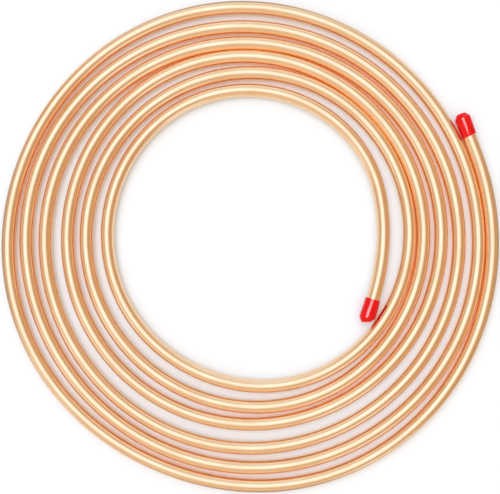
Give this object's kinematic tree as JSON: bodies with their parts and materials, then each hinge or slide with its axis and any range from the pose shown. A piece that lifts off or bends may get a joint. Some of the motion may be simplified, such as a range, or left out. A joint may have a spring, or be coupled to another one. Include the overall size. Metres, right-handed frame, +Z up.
{
  "type": "copper tube coil",
  "caption": "Flat single-layer spiral coil of soft copper tube with open turns and a push-on cap closing each end, for plumbing or refrigerant lines.",
  "frame": {"origin": "middle of the coil's outline, on the floor that it lies on", "axes": "+Z up through the eye of the coil; seen from above the tube runs counter-clockwise from its inner end to its outer end, which is a little counter-clockwise of +X"},
  "size_m": [0.3581, 0.3538, 0.0114],
  "materials": {
    "bright_copper": "drawn and bright annealed soft copper, polished",
    "red_vinyl": "dip-moulded soft vinyl, glossy red"
  },
  "bodies": {
    "root": {"copper_tube": "bright_copper", "inner_end_cap": "red_vinyl", "outer_end_cap": "red_vinyl"}
  },
  "joints": []
}
